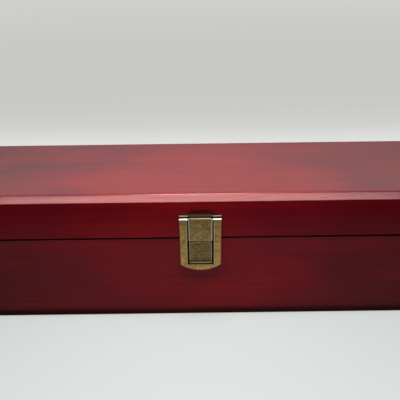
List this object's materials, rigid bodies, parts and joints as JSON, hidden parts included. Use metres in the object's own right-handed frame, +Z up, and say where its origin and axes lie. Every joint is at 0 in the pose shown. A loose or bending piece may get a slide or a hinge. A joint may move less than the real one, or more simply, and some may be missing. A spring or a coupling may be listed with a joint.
{
  "type": "wooden keepsake case",
  "caption": "Long rectangular wooden case with a hinged, bevelled lid, comb-jointed corners, a swinging flap latch on the front and a padded lining.",
  "frame": {"origin": "centre of the underside", "axes": "+X along the front to the right as seen from the front, -Y out of the front with the latch, +Z up"},
  "size_m": [0.35, 0.1128, 0.0975],
  "materials": {
    "stained_wood": "cherry-red stain under semi-gloss lacquer",
    "antique_bronze": "antique bronze plating, satin, darker in the recesses",
    "satin_lining": "padded champagne satin"
  },
  "bodies": {
    "case": {"bottom_board": "stained_wood", "base_front": "stained_wood", "base_back": "stained_wood", "base_left": "stained_wood", "base_right": "stained_wood", "left_hinge_base_leaf": "antique_bronze", "left_hinge_pin": "antique_bronze", "right_hinge_base_leaf": "antique_bronze", "right_hinge_pin": "antique_bronze", "hinge_base_screws": "antique_bronze", "latch_catch_plate": "antique_bronze", "latch_catch_nails": "antique_bronze", "floor_pad": "satin_lining", "lining_front": "satin_lining", "lining_back": "satin_lining", "lining_left": "satin_lining", "lining_right": "satin_lining"},
    "lid": {"top_board": "stained_wood", "lid_front": "stained_wood", "lid_back": "stained_wood", "lid_left": "stained_wood", "lid_right": "stained_wood", "left_hinge_lid_leaf": "antique_bronze", "right_hinge_lid_leaf": "antique_bronze", "hinge_lid_screws": "antique_bronze", "latch_lid_plate": "antique_bronze", "latch_lid_nails": "antique_bronze", "latch_pin": "antique_bronze", "lid_pad": "satin_lining"},
    "flap": {"latch_flap": "antique_bronze"}
  },
  "joints": [
    {"name": "lid_hinge", "type": "hinge", "parent": "case", "child": "lid", "pos_m": [0, 0.052, 0.0655], "axis": [-1, 0, 0], "range_deg": [0, 100]},
    {"name": "flap_hinge", "type": "hinge", "parent": "lid", "child": "flap", "pos_m": [0, -0.0575, 0.0814], "axis": [-1, 0, 0], "range_deg": [0, 190]}
  ]
}
